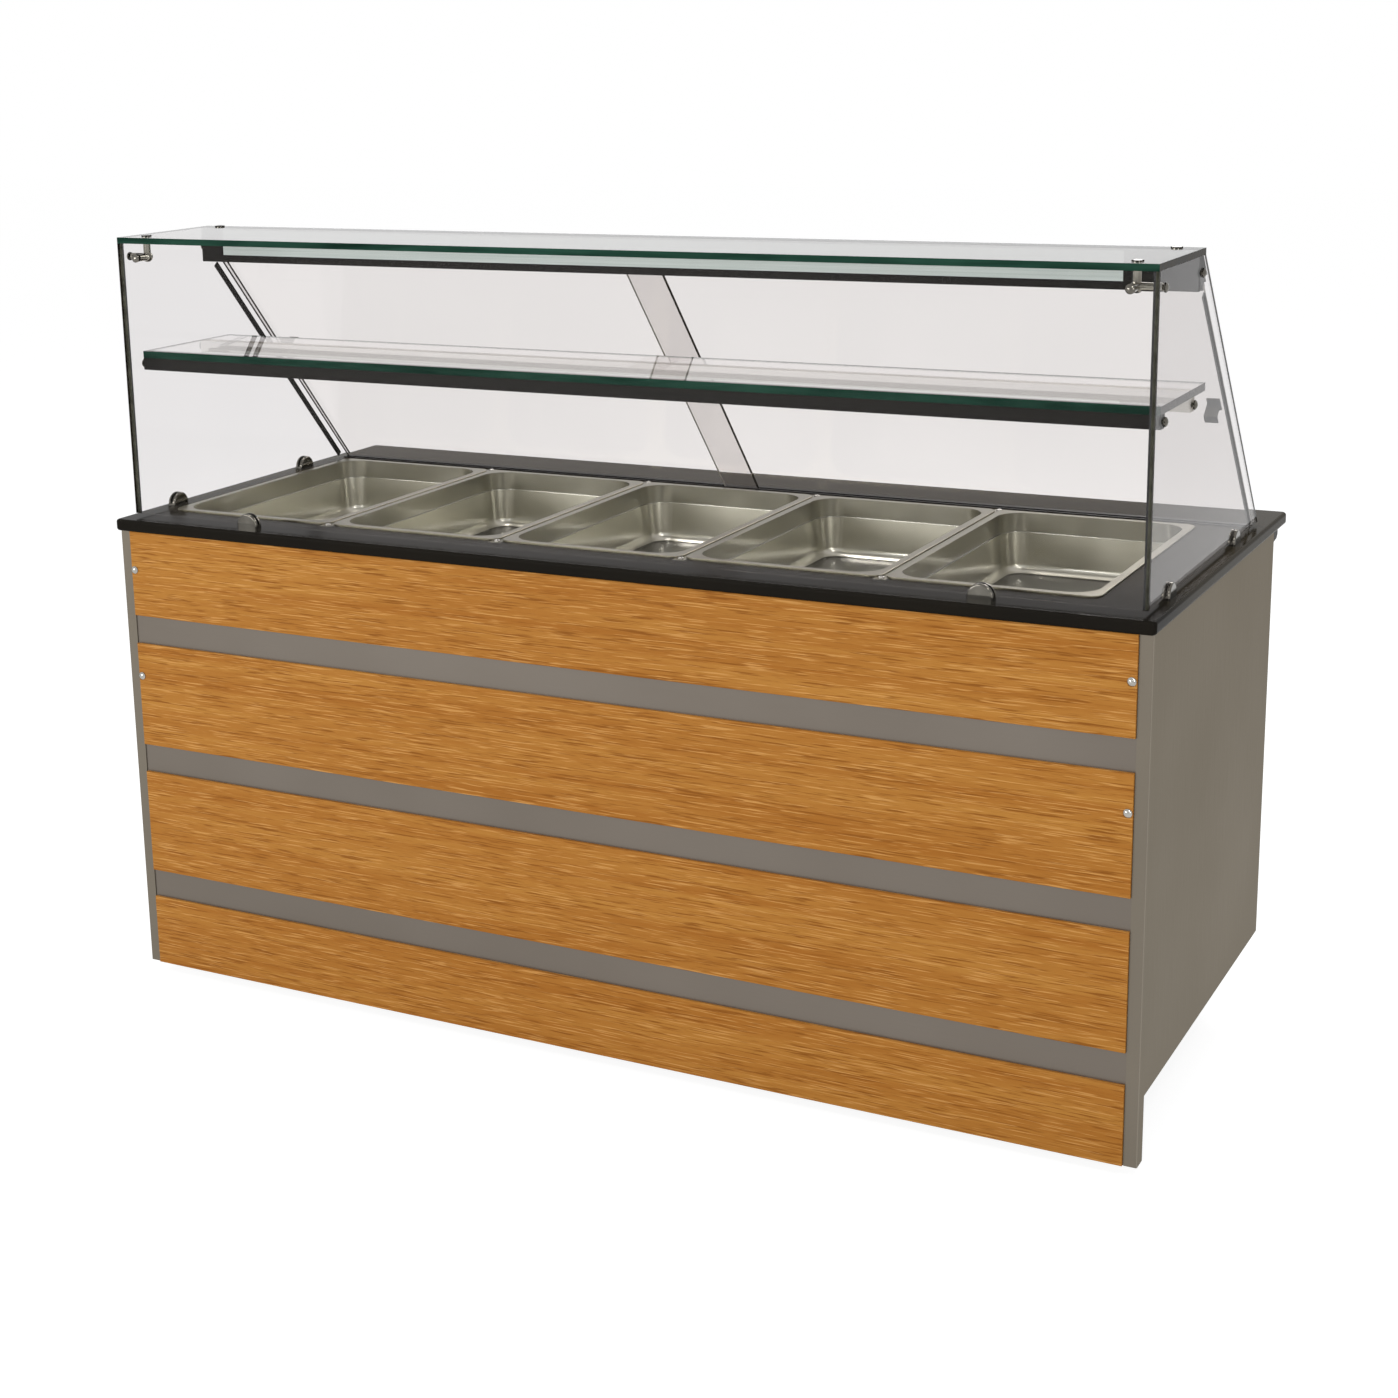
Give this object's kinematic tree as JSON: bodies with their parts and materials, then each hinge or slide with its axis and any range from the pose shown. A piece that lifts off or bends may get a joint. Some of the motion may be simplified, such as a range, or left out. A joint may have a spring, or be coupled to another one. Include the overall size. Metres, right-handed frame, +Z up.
{
  "type": "refrigerated buffet counter",
  "caption": "Free-standing refrigerated buffet counter: wood-fronted steel cabinet, stone worktop, cold well of gastronorm pans and a glass canopy with a shelf and slanted sliding rear doors.",
  "frame": {"origin": "bottom centre of the bounding box, on the floor", "axes": "+X along the front to the right as the guests see it, +Y to the staff side, +Z up"},
  "size_m": [1.8, 0.8, 1.31],
  "materials": {
    "stone_top": "polished dark stone",
    "brushed_panel": "brushed stainless steel",
    "plain_sheet": "plain stainless sheet",
    "pan_steel": "satin drawn stainless steel",
    "laminate_board": "satin wood-grain laminate",
    "clear_glass": "clear float glass with green edges",
    "chrome_fitting": "polished chrome",
    "dark_rail": "dark satin finish",
    "light_cover": "milky diffuser",
    "light_board": "white LED board",
    "track_alloy": "anodised aluminium",
    "foam": "closed-cell foam",
    "copper_tube": "bare copper tube",
    "black_moulding": "fine black moulding",
    "grey_moulding": "grey moulding",
    "unit_paint": "black painted shell",
    "motor_paint": "grey painted steel",
    "fin_alloy": "bare aluminium fins",
    "foot_steel": "turned stainless steel"
  },
  "bodies": {
    "cabinet": {"worktop": "stone_top", "left_side_panel": "brushed_panel", "right_side_panel": "brushed_panel", "front_panel": "brushed_panel", "front_board_top": "laminate_board", "front_board_upper": "laminate_board", "front_board_lower": "laminate_board", "front_board_bottom": "laminate_board", "panel_screws": "chrome_fitting", "cabinet_base": "plain_sheet", "levelling_feet": "foot_steel", "divider_panel": "plain_sheet", "rear_header": "plain_sheet", "rear_mullion": "plain_sheet", "control_fascia": "brushed_panel", "service_panel": "brushed_panel", "door_hinges": "plain_sheet", "well_liner": "pan_steel", "well_insulation": "foam", "cooling_coil": "copper_tube", "drain_fitting": "plain_sheet", "crossbars": "pan_steel", "front_glass": "clear_glass", "left_side_glass": "clear_glass", "right_side_glass": "clear_glass", "top_glass": "clear_glass", "shelf_glass": "clear_glass", "shelf_rails": "dark_rail", "corner_connectors": "chrome_fitting", "cap_bolts": "chrome_fitting", "glass_clamps": "chrome_fitting", "light_housing": "dark_rail", "light_diffuser": "light_cover", "led_strip": "light_board", "door_tracks": "track_alloy", "door_jambs": "dark_rail", "control_module": "black_moulding", "cable_gland": "black_moulding", "compressor": "unit_paint", "condenser": "fin_alloy", "fan_shroud": "motor_paint", "fan_motor": "motor_paint", "refrigerant_pipes": "copper_tube"},
    "pan_1": {"pan_1": "pan_steel"},
    "pan_2": {"pan_2": "pan_steel"},
    "pan_3": {"pan_3": "pan_steel"},
    "pan_4": {"pan_4": "pan_steel"},
    "pan_5": {"pan_5": "pan_steel"},
    "glass_door_left": {"glass_door_left": "clear_glass", "left_door_pull": "chrome_fitting"},
    "glass_door_right": {"glass_door_right": "clear_glass", "right_door_pull": "chrome_fitting"},
    "storage_door_left": {"storage_door_left": "brushed_panel", "left_door_handle": "chrome_fitting"},
    "storage_door_right": {"storage_door_right": "brushed_panel", "right_door_handle": "chrome_fitting"},
    "fan": {"fan_blade": "fin_alloy"},
    "thermostat_knob": {"thermostat_knob": "black_moulding"},
    "power_switch": {"power_switch": "grey_moulding"},
    "light_switch": {"light_switch": "grey_moulding"}
  },
  "joints": [
    {"name": "pan_1_lift", "type": "slide", "parent": "cabinet", "child": "pan_1", "axis": [0, 0, 1], "range_m": [0, 0.017]},
    {"name": "pan_2_lift", "type": "slide", "parent": "cabinet", "child": "pan_2", "axis": [0, 0, 1], "range_m": [0, 0.017]},
    {"name": "pan_3_lift", "type": "slide", "parent": "cabinet", "child": "pan_3", "axis": [0, 0, 1], "range_m": [0, 0.017]},
    {"name": "pan_4_lift", "type": "slide", "parent": "cabinet", "child": "pan_4", "axis": [0, 0, 1], "range_m": [0, 0.017]},
    {"name": "pan_5_lift", "type": "slide", "parent": "cabinet", "child": "pan_5", "axis": [0, 0, 1], "range_m": [0, 0.017]},
    {"name": "glass_door_left_slide", "type": "slide", "parent": "cabinet", "child": "glass_door_left", "axis": [1, 0, 0], "range_m": [0, 0.85]},
    {"name": "glass_door_right_slide", "type": "slide", "parent": "cabinet", "child": "glass_door_right", "axis": [1, 0, 0], "range_m": [-0.805, 0]},
    {"name": "storage_door_left_hinge", "type": "hinge", "parent": "cabinet", "child": "storage_door_left", "pos_m": [-0.882, 0.322, 0.4385], "axis": [0, 0, 1], "range_deg": [0, 100]},
    {"name": "storage_door_right_hinge", "type": "hinge", "parent": "cabinet", "child": "storage_door_right", "pos_m": [0.405, 0.322, 0.4385], "axis": [0, 0, 1], "range_deg": [-100, 0]},
    {"name": "fan_spin", "type": "hinge", "parent": "cabinet", "child": "fan", "pos_m": [0.63, 0.197, 0.276], "axis": [0, 1, 0], "continuous": true},
    {"name": "thermostat_turn", "type": "hinge", "parent": "cabinet", "child": "thermostat_knob", "pos_m": [0.866, 0.34, 0.784], "axis": [0, -1, 0], "range_deg": [0, 270]},
    {"name": "power_switch_rock", "type": "hinge", "parent": "cabinet", "child": "power_switch", "pos_m": [0.778, 0.322, 0.784], "axis": [1, 0, 0], "range_deg": [0, 16]},
    {"name": "light_switch_rock", "type": "hinge", "parent": "cabinet", "child": "light_switch", "pos_m": [0.802, 0.322, 0.784], "axis": [1, 0, 0], "range_deg": [0, 16]}
  ]
}
